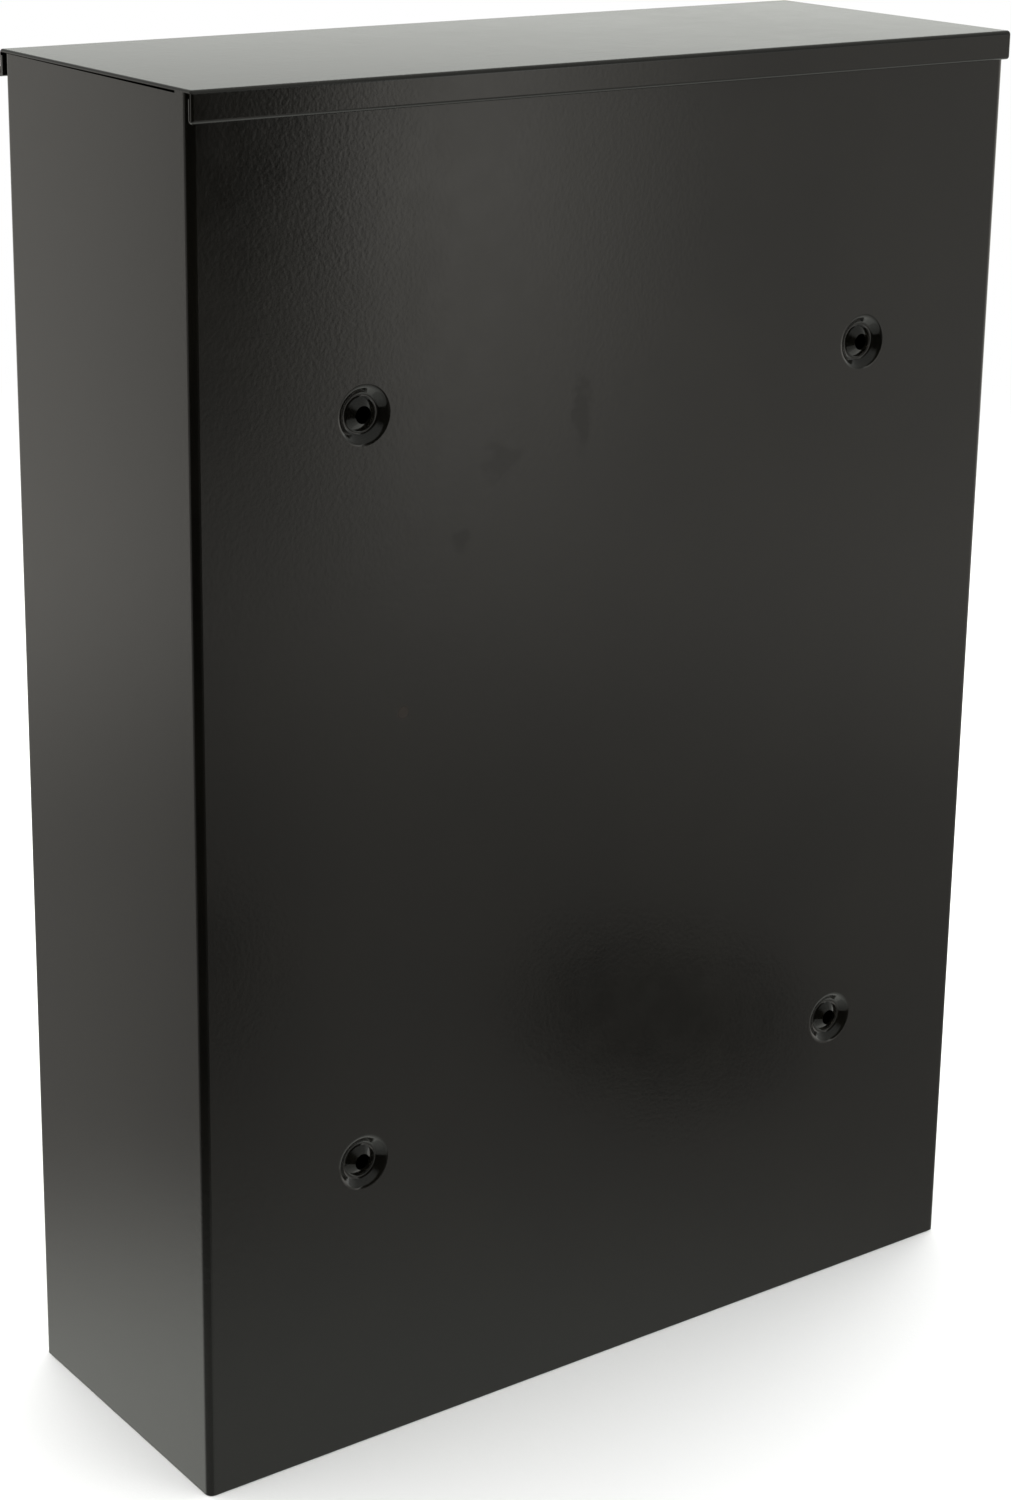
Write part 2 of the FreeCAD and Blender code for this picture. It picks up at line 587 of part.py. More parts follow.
def make_slot_flap():
    """Flap of sheet steel, curled round the rod along its top edge and turned out into a finger lip below."""
    body = new_body("slot_flap", AT_ROD)
    curl_inner = "(Dims.rod_bore / 2 + Dims.running)"
    curl_outer = f"({curl_inner} + Dims.gauge)"
    low = "-(Dims.rod_high - Dims.shelf_high - Dims.door_gap)"
    length = f"2 * ({JAMB} - Dims.flap_side)"
    path = (
        (f"-{curl_inner}", "0"),
        (f"-{curl_inner}", low),
        (f"-{curl_outer} - Dims.flap_lip", low),
    )
    section = new_sketch(body, "YZ_Plane")
    draw_sheet_section(section, path)
    add_pad(body, section, length, both_ways=True)
    round_folds(body, path)
    curl = new_sketch(body, "YZ_Plane")
    draw_circle(curl, ("0", "0"), f"2 * {curl_outer}")
    add_pad(body, curl, length, both_ways=True)
    bore = new_sketch(body, "YZ_Plane")
    draw_circle(bore, ("0", "0"), f"2 * {curl_inner}")
    add_pocket(body, bore, f"{length} + 1", both_ways=True)
    mouth = new_sketch(body, "YZ_Plane")
    mouth_end = f"-{curl_inner} + Dims.curl_mouth"
    draw_rectangle(mouth, f"-{curl_inner}", mouth_end, f"-{curl_outer}", "-Dims.rod_bore / 4")
    add_pocket(body, mouth, f"{length} + 1", both_ways=True)


def make_flap_rod():
    body = new_body("flap_rod", AT_ROD)
    section = new_sketch(body, "YZ_Plane")
    draw_circle(section, ("0", "0"), "Dims.rod_bore")
    add_pad(body, section, f"2 * ({JAMB} + Dims.rod_over)", both_ways=True)
    ends = named_edges(body, lambda e: len(e.Vertexes) == 1)
    add_fillet(body, ends, "Dims.rod_round")


# ---------------------------------------------------------------- door


def make_door_panel():
    """Door pan with folded edges, inner returns at both sides, and holes for the lock and hinge pins."""
    body = new_body("door_panel", AT_CASE)
    rear = f"{FRONT} + Dims.door_deep"
    plan = new_sketch(body, "XY_Plane", ("0", "0", DOOR_LOW))
    draw_rectangle(plan, f"-{DOOR_SIDE}", DOOR_SIDE, FRONT, rear)
    add_pad(body, plan, f"{DOOR_HIGH} - {DOOR_LOW}")
    front_y = value(FRONT)
    border = named_edges(body, lambda e: all(abs(v.Point.y - front_y) < 1e-6 for v in e.Vertexes))
    add_fillet(body, border, "Dims.fold")
    hollow(body, "Y", (rear,))

    for side in ("", "-"):
        strip = new_sketch(body, "XY_Plane", ("0", "0", f"{DOOR_LOW} + 2 * Dims.gauge"))
        strip_inner = f"{side}({DOOR_SIDE} - Dims.door_return)"
        strip_outer = f"{side}({DOOR_SIDE} - Dims.gauge / 2)"
        draw_rectangle(strip, strip_inner, strip_outer, f"{rear} - Dims.gauge", rear)
        add_pad(body, strip, f"{DOOR_HIGH} - {DOOR_LOW} - 4 * Dims.gauge")

    pin_holes = new_sketch(body, "XY_Plane", ("0", "0", DOOR_LOW))
    draw_circle(pin_holes, (HINGE_X, HINGE_Y), "Dims.pin_bore")
    add_pocket(body, pin_holes, f"{DOOR_HIGH} - {DOOR_LOW}", reverse=True)

    lock_hole = new_sketch(body, "XZ_Plane", (LOCK_X, "Dims.lock_high", "Dims.depth"))
    draw_flatted_circle(lock_hole, BARREL_HOLE, "(Dims.barrel_flats + 2 * Dims.running)")
    add_pocket(body, lock_hole, "4 * Dims.gauge", both_ways=True)


def hinge_home(level):
    """Where a hinge part's own origin goes: on the hinge axis at a height of the case."""
    return (HINGE_X, f"-Dims.wall_gap + {HINGE_Y}", f"{CASE_LOW} + {level}")


def make_hinge_parts(suffix, door_face, ledge_face, outward):
    """The pin in the door's fold and the flanged bush in the case, at one end of the door.

    outward is 1 at the upper end and -1 at the lower end; heights count from the door's outer face."""
    pin = new_body(f"hinge_pin_{suffix}", hinge_home(door_face))
    step = f"({outward})"
    shank = new_sketch(pin, "XY_Plane", ("0", "0", f"-{step} * Dims.gauge"))
    draw_circle(shank, ("0", "0"), "Dims.pin_bore")
    length = "Dims.gauge + Dims.door_gap + Dims.pin_over"
    add_feature(pin, "Pad", shank, Length=length, Reversed=outward < 0)
    head = new_sketch(pin, "XY_Plane", ("0", "0", f"-{step} * Dims.gauge"))
    draw_circle(head, ("0", "0"), "Dims.pin_head")
    add_feature(pin, "Pad", head, Length="Dims.pin_head_high", Reversed=outward > 0)
    tip = value(f"{step} * ({length} - Dims.gauge)")
    tip_edge = named_edges(pin, lambda e: all(abs(v.Point.z - tip) < 1e-3 for v in e.Vertexes))
    add_fillet(pin, tip_edge, "Dims.clearance")

    bush = new_body(f"hinge_bush_{suffix}", hinge_home(ledge_face))
    flange = new_sketch(bush, "XY_Plane")
    draw_circle(flange, ("0", "0"), "Dims.bush_flange")
    add_feature(bush, "Pad", flange, Length="Dims.door_gap - Dims.clearance", Reversed=outward > 0)
    sleeve = new_sketch(bush, "XY_Plane")
    draw_circle(sleeve, ("0", "0"), "Dims.bush_body")
    add_feature(bush, "Pad", sleeve, Length="Dims.bush_long", Reversed=outward < 0)
    bore = new_sketch(bush, "XY_Plane")
    draw_circle(bore, ("0", "0"), "Dims.pin_bore + 2 * Dims.running")
    add_pocket(bush, bore, "2 * (Dims.bush_long + Dims.door_gap)", both_ways=True)


# ---------------------------------------------------------------- lock


def make_lock_body():
    """Lock housing: round head on the door's face and a barrel with two flats through it."""
    body = new_body("lock_body", AT_LOCK)
    barrel = new_sketch(body, "XZ_Plane")
    draw_flatted_circle(barrel, "Dims.barrel_wide", "Dims.barrel_flats")
    add_feature(body, "Pad", barrel, Length="Dims.barrel_deep", Reversed=True)
    head = (
        ("0", "0"),
        ("Dims.lock_head / 2", "0"),
        ("Dims.lock_head / 2", "-Dims.lock_edge"),
        ("Dims.lock_face / 2", "-Dims.head_thick"),
        ("0", "-Dims.head_thick"),
    )
    turn_outline(body, "Revolution", head)
    bore = "Dims.plug_wide / 2 + Dims.running"
    seat = "Dims.plug_face / 2 + Dims.running"
    front = "-Dims.head_thick - 1"
    rear = "Dims.barrel_deep + 1"
    cut = (
        ("0", front),
        (seat, front),
        (seat, "-Dims.plug_seat"),
        (bore, "-Dims.plug_seat"),
        (bore, rear),
        ("0", rear),
    )
    turn_outline(body, "Groove", cut)


def make_lock_plug():
    """Turning plug with its keyway, a square tail for the cam and a tapped hole for the cam screw."""
    body = new_body("lock_plug", AT_LOCK)
    face = "-Dims.head_thick + Dims.clearance"
    flange_rear = "-Dims.plug_seat - 2 * Dims.running"
    outline = (
        ("0", face),
        ("Dims.plug_face / 2 - Dims.plug_edge", face),
        ("Dims.plug_face / 2", f"{face} + Dims.plug_edge"),
        ("Dims.plug_face / 2", flange_rear),
        ("Dims.plug_wide / 2", flange_rear),
        ("Dims.plug_wide / 2", "Dims.cam_near"),
        ("0", "Dims.cam_near"),
    )
    turn_outline(body, "Revolution", outline)
    tail = new_sketch(body, "XZ_Plane", ("0", "0", "-Dims.cam_near"))
    draw_square(tail, "Dims.tail_wide")
    add_feature(body, "Pad", tail, Length="Dims.cam_thick", Reversed=True)
    tapped = new_sketch(body, "XZ_Plane", ("0", "0", "-Dims.cam_near - Dims.cam_thick"))
    draw_circle(tapped, ("0", "0"), "Dims.screw_bore")
    add_pocket(body, tapped, "Dims.tap_deep", reverse=True)
    keyway = new_sketch(body, "XZ_Plane", ("0", "0", "Dims.head_thick"))
    draw_bar(keyway, "Dims.key_wide", "Dims.key_high")
    add_pocket(body, keyway, "Dims.key_deep")


def make_lock_cam():
    """Flat steel arm on the plug's tail; it hangs down when the lock is open."""
    body = new_body("lock_cam", AT_LOCK)
    near = ("0", "0", "-Dims.cam_near")
    arm = new_sketch(body, "XZ_Plane", near)
    half_arm = "Dims.cam_wide / 2"
    draw_rectangle(arm, f"-{half_arm}", half_arm, "-Dims.cam_reach", "0")
    add_feature(body, "Pad", arm, Length="Dims.cam_thick", Reversed=True)
    eye = new_sketch(body, "XZ_Plane", near)
    draw_circle(eye, ("0", "0"), "Dims.cam_wide")
    add_feature(body, "Pad", eye, Length="Dims.cam_thick", Reversed=True)
    tip = [(f"{side}{half_arm}", "-Dims.cam_reach") for side in ("", "-")]
    add_fillet(body, edges_along(body, "Y", tip), "Dims.cam_wide / 4")
    socket = new_sketch(body, "XZ_Plane", near)
    draw_square(socket, "Dims.tail_wide")
    add_pocket(body, socket, "3 * Dims.cam_thick", both_ways=True)


def make_cam_screw():
    """Pan head screw with a cross recess, on its washer."""
    body = new_body("cam_screw", AT_LOCK)
    under = "Dims.cam_near + Dims.cam_thick + Dims.gauge"
    top = f"{under} + Dims.screw_high"
    tip = f"{under} - Dims.screw_long"
    outline = (
        ("0", tip),
        ("Dims.screw_bore / 2", tip),
        ("Dims.screw_bore / 2", under),
        ("Dims.screw_head / 2", under),
        ("Dims.screw_head / 2", f"{under} + Dims.screw_edge"),
        ("Dims.screw_face / 2", top),
        ("0", top),
    )
    turn_outline(body, "Revolution", outline)
    for sizes in (("Dims.cross_long", "Dims.cross_wide"), ("Dims.cross_wide", "Dims.cross_long")):
        slot = new_sketch(body, "XZ_Plane", ("0", "0", f"-({top})"))
        draw_bar(slot, *sizes)
        add_pocket(body, slot, "Dims.cross_deep", reverse=True)


def make_washer(name, inner, outer, near):
    """A flat ring of sheet on the lock's axis."""
    body = new_body(name, AT_LOCK)
    ring = new_sketch(body, "XZ_Plane", ("0", "0", f"-({near})"))
    draw_circle(ring, ("0", "0"), outer)
    draw_circle(ring, ("0", "0"), inner)
    add_feature(body, "Pad", ring, Length="Dims.gauge", Reversed=True)


def make_lock_nut():
    """Hexagon nut that clamps the lock body against the inside of the door."""
    body = new_body("lock_nut", AT_LOCK)
    sketch = new_sketch(body, "XZ_Plane", ("0", "0", "-2 * Dims.gauge"))
    corner_out = "Dims.nut_flats / 2 / cos(30deg)"
    corners = []
    for turn in range(0, 360, 60):
        corners.append((f"{corner_out} * cos({turn}deg)", f"{corner_out} * sin({turn}deg)"))
    draw_polygon(sketch, corners)
    draw_circle(sketch, ("0", "0"), BARREL_HOLE)
    add_feature(body, "Pad", sketch, Length="Dims.nut_thick", Reversed=True)


# ---------------------------------------------------------------- groups of small parts


def make_group(name, members):
    group = doc.addObject("Part::Compound", name)
    group.Label = name
    group.Links = members
    doc.recompute()
    parts.append(group)


def make_round(kind, name, place, turn, sizes):
    """A Part primitive placed in the case frame, turned about one axis."""
    shape = doc.addObject(f"Part::{kind}", name)
    shape.Placement = FreeCAD.Placement(FreeCAD.Vector(), FreeCAD.Rotation(*turn))
    for letter, home, offset in zip("xyz", AT_CASE, place):
        shape.setExpression(f"Placement.Base.{letter}", f"{home} + {offset}")
    for prop, size in sizes.items():
        shape.setExpression(prop, size)
    return shape


def make_bumpers(name, places, base_y, height):
    """Rubber buttons that stand towards the front from a face of the case."""
    toward_front = (FreeCAD.Vector(1, 0, 0), 90)
    buttons = []
    for number, (x, z) in enumerate(places, start=1):
        sizes = {"Radius1": "Dims.bumper_base / 2", "Radius2": "Dims.bumper_top / 2", "Height": height}
        buttons.append(make_round("Cone", f"{name}_{number}", (x, base_y, z), toward_front, sizes))
    make_group(name, buttons)


def make_rod_clips():
    """Push-on rings at both ends of the flap rod, behind the jambs."""
    along_x = (FreeCAD.Vector(0, 1, 0), 90)
    rings = []
    for number, side in enumerate((1, -1), start=1):
        start = f"{JAMB} + Dims.gauge" if side > 0 else f"-{JAMB} - 2 * Dims.gauge"
        place = (start, f"{FRONT} + Dims.rod_back", "Dims.rod_high")
        ring = doc.addObject("Part::Cut", f"clip_ring_{number}")
        disc_sizes = {"Radius": "Dims.clip_wide / 2", "Height": "Dims.gauge"}
        bore_sizes = {"Radius": "Dims.rod_bore / 2", "Height": "Dims.gauge"}
        ring.Base = make_round("Cylinder", f"clip_disc_{number}", place, along_x, disc_sizes)
        ring.Tool = make_round("Cylinder", f"clip_bore_{number}", place, along_x, bore_sizes)
        rings.append(ring)
    make_group("flap_rod_clips", rings)


# ---------------------------------------------------------------- build, check and write

make_body_shell()
make_roof_panel()
make_bottom_panel()
make_slot_fascia()
make_slot_flap()
make_flap_rod()
make_rod_clips()
make_door_panel()
make_hinge_parts("lower", DOOR_LOW, "Dims.sill_high", -1)
make_hinge_parts("upper", DOOR_HIGH, "Dims.rail_low", 1)
make_lock_body()
make_washer("lock_washer", BARREL_HOLE, "Dims.lock_washer_wide", "Dims.gauge")
make_lock_nut()
make_lock_plug()
make_lock_cam()
make_washer("cam_washer", "Dims.screw_bore", "Dims.cam_washer_wide", "Dims.cam_near + Dims.cam_thick")
make_cam_screw()

stop_middle = f"({JAMB} - Dims.stop_wide / 2)"
stop_face = f"{FRONT} + Dims.jamb_deep - Dims.gauge"
door_rear = "Dims.door_deep + Dims.clearance"
make_bumpers(
    "door_bumpers",
    ((stop_middle, "Dims.sill_high + Dims.bumper_up"), (stop_middle, "Dims.rail_low - Dims.bumper_up")),
    stop_face,
    f"Dims.jamb_deep - Dims.gauge - ({door_rear})",
)
flap_bumper_x = f"({JAMB} - Dims.flap_bumper_in)"
flap_bumper_z = "Dims.slot_low + Dims.flap_bumper_up"
flap_rear = "Dims.rod_back - Dims.rod_bore / 2 - Dims.running + Dims.clearance"
make_bumpers(
    "flap_bumpers",
    ((flap_bumper_x, flap_bumper_z), (f"-{flap_bumper_x}", flap_bumper_z)),
    f"{FRONT} + Dims.recess",
    f"Dims.recess - ({flap_rear})",
)
doc.recompute()

for item in doc.Objects:
    assert "Invalid" not in item.State and "Error" not in item.State, f"{item.Label} failed"

os.makedirs("parts", exist_ok=True)
for part in parts:
    shape = part.Shape
    assert not shape.isNull() and shape.isValid(), f"{part.Label} has no valid shape"
    shape.exportStep(f"parts/{part.Label}.step")
    box = shape.BoundBox
    size = f"{box.XLength:.1f} x {box.YLength:.1f} x {box.ZLength:.1f} mm"
    print(f"{part.Label:16s} {len(shape.Solids)} solids, {shape.Volume:9.1f} mm3, {size}")
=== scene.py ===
"""Looks of the wall mounted mailbox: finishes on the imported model, a pale floor, soft light and the camera.

Lengths are in metres and directions are in the model's own frame: the front faces -Y and +Z is up. Compass
angles count from the front, 0 being -Y and 90 being +X.
"""

import math

import bpy
from mathutils import Matrix, Vector


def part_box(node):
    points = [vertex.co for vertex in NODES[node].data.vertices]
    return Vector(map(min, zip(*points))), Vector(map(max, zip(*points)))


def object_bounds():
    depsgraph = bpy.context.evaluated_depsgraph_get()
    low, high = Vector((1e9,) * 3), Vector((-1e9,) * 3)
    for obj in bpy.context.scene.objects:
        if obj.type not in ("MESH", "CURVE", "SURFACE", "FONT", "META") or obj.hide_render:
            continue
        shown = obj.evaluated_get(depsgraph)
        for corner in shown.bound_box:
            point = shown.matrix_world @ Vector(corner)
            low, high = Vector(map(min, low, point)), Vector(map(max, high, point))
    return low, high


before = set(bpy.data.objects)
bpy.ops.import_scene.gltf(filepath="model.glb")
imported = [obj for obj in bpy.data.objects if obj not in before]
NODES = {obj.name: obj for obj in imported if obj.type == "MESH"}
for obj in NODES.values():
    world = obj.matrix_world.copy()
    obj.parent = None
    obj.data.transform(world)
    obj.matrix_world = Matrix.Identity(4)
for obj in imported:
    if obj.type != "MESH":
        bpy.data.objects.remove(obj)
CAD_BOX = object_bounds()
MM = 0.001

# Camera: where it stands, its compass angle and elevation as seen from what it looks at, its roll, its lens
# and sensor in millimetres, its shift upwards and the nearest distance that it sees.
CAMERA_PLACE = Vector((0.5896, 0.7417, 0.3319))
CAMERA_COMPASS = 143.84
CAMERA_ABOVE = 16.88
CAMERA_ROLL = 0.85
CAMERA_LENS = 73.96
CAMERA_SENSOR = 36.0
CAMERA_RISE = -0.0914
CAMERA_NEAR = 0.05

# Surroundings, which the coat reflects. White walls stand on three sides, a white table lies below with two
# dark things on it, a ceiling glows softly, and the rest is a dark room. Each profile is a row of stops:
# (compass angle or elevation, brightness or share).
HIGH_WALLS = (
    (-148.4, 0.0),
    (-145.6, 1.60),
    (-139.6, 0.60),
    (-133.0, 0.66),
    (-115.0, 1.15),
    (-60.0, 1.10),
    (-45.0, 0.84),
    (27.0, 0.84),
    (35.0, 0.35),
    (58.0, 0.35),
    (75.0, 0.0),
)
LOW_WALLS = (
    (-157.0, 0.10),
    (-146.0, 0.84),
    (-141.0, 0.76),
    (-134.0, 0.82),
    (27.0, 0.98),
    (38.0, 0.40),
    (58.0, 0.40),
    (75.0, 0.0),
)
LOW_SHARE = ((-18.5, 1.0), (-8.5, 0.0))
WALL_BY_HEIGHT = (
    (-25.0, 0.48),
    (-21.5, 0.50),
    (-15.0, 0.92),
    (-9.0, 1.0),
    (1.0, 1.0),
    (4.0, 1.42),
    (8.6, 0.55),
)
TABLE = ((-130.0, 0.62), (-60.0, 0.80), (10.0, 1.15), (40.0, 1.15), (75.0, 0.40))
TABLE_SHARE = ((-31.0, 1.0), (-26.0, 0.0))
TABLE_BY_HEIGHT = ((-60.0, 1.60), (-33.0, 1.0))
CEILING = 0.42
CEILING_SHARE = ((14.0, 0.0), (36.0, 1.0))
HORIZON = (-3.0, 3.0)

# Dark things on the table: (compass angle, elevation, half width, half height, how much darker).
DARK_THINGS = (
    (-140.7, -24.2, 2.6, 1.4, 0.85),
    (-152.0, -23.4, 3.4, 1.6, 0.55),
)
WALL_TINT = (1.03, 1.0, 0.93, 1)
TABLE_TINT = (0.98, 1.0, 0.93, 1)
UPPER_TINT = (0.98, 1.0, 0.95, 1)
PAGE_WHITE = (1, 1, 1, 1)

# Floor: it starts to fade into the page at the first distance from the middle and is gone at the second.
FLOOR_FADE = (0.7, 1.6)
FLOOR_BELOW = 0.2 * MM

# Light: compass angle, elevation, distance, size and watts.
OVERHEAD_LIGHT = (-30, 80, 3.0, 4.0, 260.0)

# Powder coat: grain sizes and bump heights.
COAT_CLOUD = 60 * MM
COAT_PATCH = 9 * MM
COAT_PEEL = 1.4 * MM
COAT_PEEL_HIGH = 0.010 * MM
COAT_FLECK = 1.1 * MM
COAT_FLECK_HIGH = 0.003 * MM
COAT_DUST = 0.7 * MM
COAT_IOR = 1.5

# Finger marks on the back panel: (x, z, half width, half height, how much they dull the gloss).
SMUDGES = (
    (0.0175, 0.1133, 0.0040, 0.0110, 0.10),
    (0.0005, 0.1170, 0.0030, 0.0050, 0.05),
    (0.0485, 0.1010, 0.0070, 0.0060, 0.05),
    (0.0640, 0.0790, 0.0050, 0.0035, 0.05),
)
SMUDGE_RAGGED = 4 * MM

# A brown speck on the back panel: (x, z, half size), its colour and how much it dulls the gloss.
SPECK = (0.0844, 0.0266, 0.0023)
SPECK_COLOUR = (0.021, 0.014, 0.010, 1)
SPECK_DULLING = 0.3

# Turned rings of the lock: how close they lie and how high they stand.
RING_SCALE = 900.0
RING_HIGH = 0.003 * MM

# The number sockets of a colour mix node's two colours.
COLOUR_A = 6
COLOUR_B = 7


# ---------------------------------------------------------------- node helpers


class Graph:
    """Adds and links the nodes of one material or world."""

    def __init__(self, tree):
        self.tree = tree
        tree.nodes.clear()

    def add(self, kind, inputs, **settings):
        """A node; each input is a number, a colour or another node's output."""
        node = self.tree.nodes.new(kind)
        for name, setting in settings.items():
            setattr(node, name, setting)
        for socket, source in inputs.items():
            if isinstance(source, bpy.types.NodeSocket):
                self.tree.links.new(source, node.inputs[socket])
            else:
                node.inputs[socket].default_value = source
        return node

    def maths(self, operation, first, second=0.0):
        return self.add("ShaderNodeMath", {0: first, 1: second}, operation=operation).outputs[0]

    def vector_maths(self, operation, first, second):
        return self.add("ShaderNodeVectorMath", {0: first, 1: second}, operation=operation).outputs[0]

    def ramp(self, value, start, end, low=0.0, high=1.0):
        """A smooth step from low to high as value goes from start to end."""
        inputs = {"Value": value, "From Min": start, "From Max": end, "To Min": low, "To Max": high}
        return self.add("ShaderNodeMapRange", inputs, interpolation_type="SMOOTHSTEP").outputs[0]

    def profile(self, value, stops):
        """Smooth steps from stop to stop, each a (value, level) pair."""
        level = stops[0][1]
        for (start, low), (end, high) in zip(stops, stops[1:]):
            level = self.maths("ADD", level, self.ramp(value, start, end, 0.0, high - low))
        return level

    def spot(self, across, up, across_middle, up_middle, half_width, half_height, shade):
        """1 all round, less by shade inside a soft oval."""
        across = self.maths("DIVIDE", self.maths("SUBTRACT", across, across_middle), half_width)
        up = self.maths("DIVIDE", self.maths("SUBTRACT", up, up_middle), half_height)
        reach = self.length(self.add("ShaderNodeCombineXYZ", {0: across, 1: up}).outputs[0])
        return self.ramp(reach, 0.7, 1.3, 1.0 - shade, 1.0)

    def length(self, vector):
        return self.add("ShaderNodeVectorMath", {0: vector}, operation="LENGTH").outputs["Value"]

    def noise(self, place, size, detail=2.0):
        """Soft noise from 0 to 1 whose grains are about size metres across."""
        inputs = {"Vector": place, "Scale": 1 / size, "Detail": detail}
        return self.add("ShaderNodeTexNoise", inputs).outputs["Fac"]

    def blend(self, factor, first, second):
        """A mix of two numbers."""
        inputs = {"Factor": factor, "A": first, "B": second}
        return self.add("ShaderNodeMix", inputs).outputs["Result"]

    def mix(self, factor, first, second):
        """A mix of two colours."""
        inputs = {0: factor, COLOUR_A: first, COLOUR_B: second}
        return self.add("ShaderNodeMix", inputs, data_type="RGBA").outputs[2]

    def bump(self, height, distance, below=None):
        inputs = {"Height": height, "Distance": distance, "Strength": 1.0}
        if below is not None:
            inputs["Normal"] = below
        return self.add("ShaderNodeBump", inputs).outputs["Normal"]

    def output(self, kind, surface):
        self.add(kind, {"Surface": surface})


def new_material(name):
    material = bpy.data.materials.new(name)
    material.use_nodes = True
    return material, Graph(material.node_tree)


def object_place(graph):
    return graph.add("ShaderNodeTexCoord", {}).outputs["Object"]


def grey(level, warmth=0.0):
    """A grey that leans to yellow brown by its warmth."""
    return (level * (1 + warmth / 3), level, level * (1 - warmth), 1)


def direction(compass, elevation):
    """The unit vector that points to a compass angle and an elevation."""
    turn, rise = math.radians(compass), math.radians(elevation)
    return Vector((math.sin(turn) * math.cos(rise), -math.cos(turn) * math.cos(rise), math.sin(rise)))


# ---------------------------------------------------------------- finishes


def finger_marks(graph, place, roughness):
    """The roughness with the back panel's finger marks added."""
    for x, z, half_width, half_height, dulling in SMUDGES:
        offset = graph.vector_maths("SUBTRACT", place, (x, 0, z))
        reach = graph.length(graph.vector_maths("MULTIPLY", offset, (1 / half_width, 0, 1 / half_height)))
        wander = graph.ramp(graph.noise(place, SMUDGE_RAGGED, 3.0), 0.3, 0.7, -0.4, 0.4)
        ragged = graph.maths("ADD", reach, wander)
        roughness = graph.maths("ADD", roughness, graph.ramp(ragged, 1.3, 0.5, 0.0, dulling))
    return roughness


def speck_mask(graph, place):
    """1 on the back panel's speck and 0 around it."""
    x, z, size = SPECK
    offset = graph.vector_maths("SUBTRACT", place, (x, 0, z))
    reach = graph.length(graph.vector_maths("MULTIPLY", offset, (1 / size, 0, 1 / size)))
    return graph.ramp(reach, 1.3, 0.4)


def powder_coat(name, marked=False):
    """Black satin powder coat: orange peel, faint mottling, and a little dust on what faces up."""
    material, graph = new_material(name)
    place = object_place(graph)
    cloud = graph.noise(place, COAT_CLOUD, 3.0)
    colour = graph.mix(graph.ramp(cloud, 0.3, 0.7), grey(0.0034, 0.20), grey(0.0048, 0.25))
    roughness = graph.ramp(graph.noise(place, COAT_PATCH, 4.0), 0.3, 0.7, 0.098, 0.112)
    roughness = graph.maths("ADD", roughness, graph.ramp(cloud, 0.35, 0.75, 0.0, 0.02))

    if marked:
        roughness = finger_marks(graph, place, roughness)
        speck = speck_mask(graph, place)
        colour = graph.mix(speck, colour, SPECK_COLOUR)
        roughness = graph.maths("ADD", roughness, graph.maths("MULTIPLY", speck, SPECK_DULLING))

    normal = graph.add("ShaderNodeNewGeometry", {}).outputs["Normal"]
    facing_up = graph.add("ShaderNodeSeparateXYZ", {0: normal}).outputs["Z"]
    grain = graph.ramp(graph.noise(place, COAT_DUST, 1.0), 0.60, 0.75)
    dust = graph.maths("MULTIPLY", graph.ramp(facing_up, 0.6, 1.0, 0.0, 0.30), grain)
    colour = graph.mix(dust, colour, grey(0.10, 0.06))

    peel = graph.bump(graph.noise(place, COAT_PEEL, 1.0), COAT_PEEL_HIGH)
    fine = graph.bump(graph.noise(place, COAT_FLECK, 2.0), COAT_FLECK_HIGH, peel)
    shader = graph.add("ShaderNodeBsdfPrincipled", {
        "Base Color": colour,
        "Roughness": roughness,
        "IOR": COAT_IOR,
        "Normal": fine,
    })
    graph.output("ShaderNodeOutputMaterial", shader.outputs["BSDF"])
    return material


def zinc_plate(name):
    """Bright zinc plating with a faint blue and yellow bloom."""
    material, graph = new_material(name)
    place = object_place(graph)
    bloom = graph.ramp(graph.noise(place, 3 * MM, 3.0), 0.35, 0.65)
    colour = graph.mix(bloom, (0.56, 0.58, 0.60, 1), (0.62, 0.60, 0.52, 1))
    roughness = graph.ramp(graph.noise(place, 0.8 * MM, 3.0), 0.3, 0.7, 0.24, 0.40)
    normal = graph.bump(graph.noise(place, 0.5 * MM, 2.0), 0.010 * MM)
    shader = graph.add("ShaderNodeBsdfPrincipled", {
        "Base Color": colour,
        "Metallic": 1.0,
        "Roughness": roughness,
        "Normal": normal,
    })
    graph.output("ShaderNodeOutputMaterial", shader.outputs["BSDF"])
    return material


def turned_chrome(name, centre):
    """Chrome with the fine rings that turning leaves round the lock's axis."""
    material, graph = new_material(name)
    place = object_place(graph)
    offset = graph.vector_maths("SUBTRACT", place, tuple(centre))
    inputs = {"Vector": offset, "Scale": RING_SCALE, "Distortion": 0.4, "Detail": 2.0}
    rings = graph.add("ShaderNodeTexWave", inputs, wave_type="RINGS", rings_direction="Y").outputs["Fac"]
    smear = graph.noise(place, 2.5 * MM, 4.0)
    roughness = graph.ramp(smear, 0.3, 0.7, 0.10, 0.22)
    colour = graph.mix(graph.ramp(smear, 0.4, 0.8), grey(0.66, 0.01), grey(0.58, 0.02))
    shader = graph.add("ShaderNodeBsdfPrincipled", {
        "Base Color": colour,
        "Metallic": 1.0,
        "Roughness": roughness,
        "Normal": graph.bump(rings, RING_HIGH),
    })
    graph.output("ShaderNodeOutputMaterial", shader.outputs["BSDF"])
    return material


